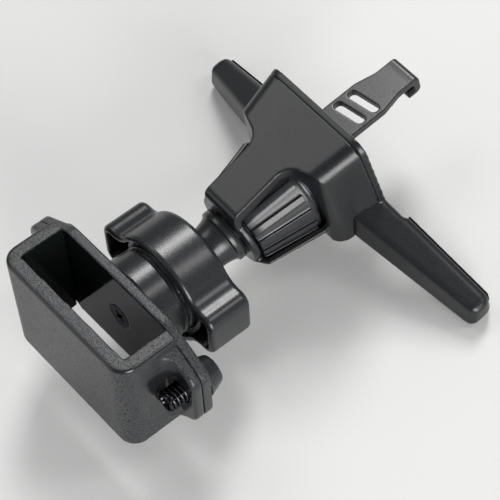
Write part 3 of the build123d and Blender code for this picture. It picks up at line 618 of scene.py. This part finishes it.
# Over the mouth's round edge: millimetres off its radius and off the rear face.
MOUTH_ROUND = ((0.5, 0), (0.12, 0.12), (-0.05, 0.45))
mouth = [(MOUTH_R + across, NUT_REAR - down) for across, down in MOUTH_ROUND]
seat = [(BALL_SEAT * math.sin(a), BALL_SEAT * math.cos(a)) for a in np.linspace(LIP, SEAT_END, 8)]
collar = [(BORE_R, BORE_END), (BORE_R, COLLAR_FRONT + BORE_BEVEL), (BORE_R + BORE_BEVEL, COLLAR_FRONT),
          (COLLAR_R - COLLAR_BEVEL, COLLAR_FRONT), (COLLAR_R, COLLAR_FRONT + COLLAR_BEVEL),
          (COLLAR_R, NUT_REAR - NUT_SKIN)]
rows = [nut_row(shrink, y) for shrink, y in skin] + [ring_row(r, y) for r, y in mouth + seat + collar]
lock_nut = loops_mesh("lock_nut_moulded", [(on_ball(rows), "closed")], SATIN_NYLON)
stand_for(lock_nut, "lock_nut")

# Ball stem
# The ball, its neck and its shaft are one nylon moulding. A ring on it bears on the
# hood's front wall, and the shaft is bored for the lead screw.

BALL_R, BALL_END, NECK_R, NECK_END, RING_R, RING_END, SHAFT_END = 8.5, 0.66, 5.0, 13.2, 6.4, 15.2, 18.95
GROOVE_R, GROOVE_START, GROOVE_END, GROOVE_SLOPE = 4.3, 17.3, 18.1, 0.02
STEM_BORE_R, STEM_BORE_START = 2.9, 4.4
# Along the neck's flare: millimetres over its radius, and places from the ball's centre.
NECK_FLARE = ((0.03, 7.25), (0, 7.8), (0, 9.4), (0.12, 10.6), (0.4, 12.0), (0.8, 13.0))
# Over the ring's front and rear edges: millimetres off its radius and off the edge's face.
RING_FRONT_ROUND, RING_REAR_BEVEL = ((0.25, 0), (0.08, 0.08), (0, 0.3)), ((0, 0.2), (0.15, 0))
# (radius, y) over the ball, along the neck, which flares to the ring, and along the shaft
# with its groove, then back through the bore.
ball = [(BALL_R * math.sin(a), -BALL_R * math.cos(a)) for a in np.linspace(0.02, math.pi - BALL_END, 36)]
neck = [(NECK_R + wider, y) for wider, y in NECK_FLARE]
ring = [(RING_R - inwards, NECK_END + along) for inwards, along in RING_FRONT_ROUND]
ring += [(RING_R - inwards, RING_END - along) for inwards, along in RING_REAR_BEVEL]
shaft = [(NECK_R, RING_END), (NECK_R, GROOVE_START), (GROOVE_R, GROOVE_START + GROOVE_SLOPE),
         (GROOVE_R, GROOVE_END), (NECK_R, GROOVE_END + GROOVE_SLOPE), (NECK_R, SHAFT_END),
         (STEM_BORE_R, SHAFT_END), (STEM_BORE_R, STEM_BORE_START)]
stem = round_rows(ball + neck + ring + shaft) + BALL_MM
stand_for(loops_mesh("ball_stem_moulded", [(stem, "capped")], SATIN_NYLON), "ball_stem")

# Stem clip
# A stamped steel clip in the shaft's groove, behind the hood's front wall.

# Steel, stamped or turned, with dark zinc plating that dulls its shine.
ZINC_STEEL = metal("dark_zinc_plated_steel", "#55585b", 0.3, 0.8)


def dress(node, material):
    """Gives a CAD node, whose shape is right as it is, its material."""
    mesh = frame["nodes"][node].data
    for i in range(len(mesh.materials)):
        mesh.materials[i] = material


dress("stem_clip", ZINC_STEEL)

# Hood
# The clip's body, one nylon moulding with a finely blasted outside: a narrow bridge over
# the thumb wheel that flares to a box, and a cradle below the wheel.

# The same kind of nylon as the nut's, from a slightly duller mould face.
HOUSING_NYLON = moulded_plastic("housing_nylon_fine_blasted", "#17181a", 0.31, 0.26, 0.018, painted_pit_shade=0.2)
moulded("hood", "satin_nylon", 0.26, HOUSING_NYLON)

# Arm frame
# The clip's rear plate and its two arms, one nylon moulding, screwed into the hood. The
# arms bear on the vent's face below the hook.

ARM_ROOT_X, ARM_END_X, ARM_SWEEP, ARM_BLEND = 12.6, 43.8, 1.8, 3.0
PAD_START_X, PAD_STEP_HALF, PAD_THICK, SHOWN_PAD_THICK = 22.0, 0.5, 1.2, 0.5


def behind_arm(points):
    """How far points lie behind the rear face of the arm that they belong to, in millimetres."""
    return points[:, 1] - (np.abs(points[:, 0]) - ARM_ROOT_X) / (ARM_END_X - ARM_ROOT_X) * ARM_SWEEP


def deeper_arms(points):
    """Moves the arms' rear faces back where the pads lie, so that only the pads' edges show."""
    depth = fade(behind_arm(points), -ARM_BLEND, 0)
    reach = fade(np.abs(points[:, 0]), PAD_START_X - PAD_STEP_HALF, PAD_START_X + PAD_STEP_HALF)
    points[:, 1] += (PAD_THICK - SHOWN_PAD_THICK) * depth * reach
    return points


moulded("arm_frame", "satin_nylon", 0.26, HOUSING_NYLON, reshape=deeper_arms)

# Arm pads
# Strips of soft moulded rubber, glued to the arms' rear faces.

# Soft black rubber from an unpolished mould, nearly without shine. Its near-black colour is also a painted
# shade for the hollow of the hook's mouth, which the tip pad fills.
SOFT_RUBBER_PAINTED_SHADE = moulded_plastic("soft_rubber_moulded", "#0c0c0d", 0.72, 0.3, 0.02, specular=0.2)


def thinner_pad(points):
    """Leaves a pad's outer face in its place and takes its thickness from the front."""
    points[:, 1] += (PAD_THICK - SHOWN_PAD_THICK) * fade(behind_arm(points), PAD_THICK, 0)
    return points


for node in ("arm_pad_left", "arm_pad_right"):
    moulded(node, "soft_rubber", 0.15, SOFT_RUBBER_PAINTED_SHADE, rounds=3, reshape=thinner_pad)

# Case screws
# Two pan-head tapping screws in the rear plate, with cross recesses. Steel with a black
# oxide finish.

moulded("case_screws", "black_steel", 0.08, BLACK_STEEL, rounds=3)

# Thumb wheel
# A hollow cone moulded in acetal, with eighteen raised ribs for the thumb. Its web holds
# the lead screw's thread, and its rear journal turns in the hood.

WHEEL_START, WHEEL_END, WHEEL_RIM = 17.6, 31.6, 0.8
CONE_FRONT_R, CONE_REAR_R = 9.0, 11.7
RIBS, RIB_TURN, RIB_WIDTH, RIB_HEIGHT = 18, math.radians(14.5), 1.6, 0.6
WEB_START, WEB_END, THREAD_BORE_R, RECESS_R, RECESS_BEVEL = 20.2, 24.0, 2.56, 7.4, 0.2
CAVITY_R, JOURNAL_R, JOURNAL_END = 7.9, 9.0, 33.5
# Across a rib's side: millimetres outwards from it, and shares of the rib's height.
RIB_SIDE = np.array([(-0.4, 1.0), (-0.14, 1.0), (-0.05, 0.95), (-0.01, 0.82), (0.0, 0.6), (0.0, 0.06),
                     (0.05, 0.0), (0.6, 0.0)])
# Along a rib: millimetres from the wheel's front, and shares of the rib's height.
RIB_LENGTH = ((0.3, 1), (3, 1), (6, 1), (9, 1), (12.6, 1), (12.76, 0.95), (12.8, 0.8), (12.82, 0.05),
              (12.87, 0), (13.1, 0), (13.4, 0))
# Over the wheel's front edge: millimetres inwards and back, and shares of the ribs' height.
FRONT_ROUND = ((0.25, 0, 0.3), (0.06, 0.08, 0.85))
# Over its rear edge: millimetres inwards and forwards.
REAR_ROUND = ((0.06, 0.1), (0.3, 0))


def wheel_row(radius, y, rise):
    """A loop round the wheel: a circle with ribs that rise from it, flat on top with round shoulders."""
    out, share = RIB_SIDE.T
    across = np.concatenate([-RIB_WIDTH / 2 - out[::-1], RIB_WIDTH / 2 + out])
    height = RIB_HEIGHT * rise * np.concatenate([share[::-1], share])
    middle = RIB_TURN + ring_angles(RIBS)[:, None]
    return rings(radius + height, y, middle + across / radius).reshape(-1, 3)


def cone_radius(along):
    """The cone's radius between its ribs, at a distance from its front."""
    share = min(along / (WHEEL_END - WHEEL_RIM - WHEEL_START), 1.0)
    return CONE_FRONT_R + share * (CONE_REAR_R - CONE_FRONT_R)


# The loops go from the thread's bore over the front edge, along the ribs and round the rear
# edge, and back through the journal and the cavity.
inner_front = [(THREAD_BORE_R, WEB_END), (THREAD_BORE_R, WEB_START), (RECESS_R, WEB_START),
               (RECESS_R, WHEEL_START + RECESS_BEVEL), (RECESS_R + RECESS_BEVEL, WHEEL_START)]
inner_rear = [(JOURNAL_R, WHEEL_END), (JOURNAL_R, JOURNAL_END), (CAVITY_R, JOURNAL_END),
              (CAVITY_R, WEB_END)]
rows = [wheel_row(radius, y, 0) for radius, y in inner_front]
rows += [wheel_row(CONE_FRONT_R - inwards, WHEEL_START + back, rise) for inwards, back, rise in FRONT_ROUND]
rows += [wheel_row(cone_radius(along), WHEEL_START + along, rise) for along, rise in RIB_LENGTH]
rows += [wheel_row(CONE_REAR_R - inwards, WHEEL_END - ahead, 0) for inwards, ahead in REAR_ROUND]
rows += [wheel_row(radius, y, 0) for radius, y in inner_rear]
# Acetal from a polished mould, with a soft shine.
ACETAL = moulded_plastic("acetal_moulded", "#1b1c1f", 0.3, 0.22, 0.006, painted_pit_shade=0.1)
wheel = loops_mesh("thumb_wheel_ribbed", [(np.array(rows) + BALL_MM, "closed")], ACETAL)
stand_for(wheel, "thumb_wheel")

# Wheel washer
# A thin steel washer between the wheel and the hood's rear bearing, stamped and plated
# with dark zinc.

dress("wheel_washer", ZINC_STEEL)

# Lead screw
# A right-hand 5 mm screw with a 2 mm pitch in dark zinc-plated steel, pinned in the hook's
# block and drawn through the wheel's web.

LEAD_START, LEAD_END, LEAD_R, LEAD_PITCH, LEAD_DEPTH = 17.6, 40.8, 2.5, 2.0, 0.55
rows = thread_rows(LEAD_R, LEAD_PITCH, LEAD_DEPTH, LEAD_START, LEAD_END, per_turn=20) + BALL_MM
stand_for(loops_mesh("lead_screw_threaded", [(rows, "capped")], ZINC_STEEL), "lead_screw")

# Screw pin
# A straight steel pin across the hook's block, which keeps the screw from turning. It is
# plated with dark zinc.

dress("screw_pin", ZINC_STEEL)

# Hook strap
# The hook, its strap and its block are one nylon moulding, with two slanted slots. The
# strap slopes down a little towards the hook.

STEP_START, STEP_LENGTH, STEP_DROP, STEP_BEND = 12.1, 5.0, 1.5, 0.44
SLOPE_START, SLOPE_LENGTH, SLOPE_BEND = -0.5, 21.5, 1.0


def bent_line(y, start, length, drop, bend):
    """How far a strap has dropped at y: level, a slope and level again, joined by short parabolas."""
    def ramp(u):
        return np.where(np.abs(u) < bend, (u + bend) ** 2 / (4 * bend), np.maximum(u, 0))
    return drop / length * (ramp(y - start) - ramp(y - start - length))


def even_slope(points):
    """Spreads the strap's short step down to the hook over the length that shows."""
    y = points[:, 1]
    points[:, 2] += bent_line(y, STEP_START, STEP_LENGTH, STEP_DROP, STEP_BEND)
    points[:, 2] -= bent_line(y, SLOPE_START, SLOPE_LENGTH, STEP_DROP, SLOPE_BEND)
    return points


moulded("hook_strap", "satin_nylon", 0.16, HOUSING_NYLON, reshape=even_slope)

# Hook tip pad
# A lining of soft rubber inside the hook's bent end, pressed in from the side, with ends
# that stand out of the hook a little.

PAD_REAR, PAD_GROWTH, PAD_WIDENING = 21.2, 1.5, 1.05


def fuller_pad(points):
    """Thickens the lining away from the hook's leg and widens it."""
    points[:, 1] = PAD_REAR + (points[:, 1] - PAD_REAR) * PAD_GROWTH
    points[:, 0] *= PAD_WIDENING
    return points


# The tip pad's near-black rubber is also a painted shade for the hollow of the hook's mouth.
moulded("hook_tip_pad", "soft_rubber", 0.1, SOFT_RUBBER_PAINTED_SHADE, reshape=fuller_pad)
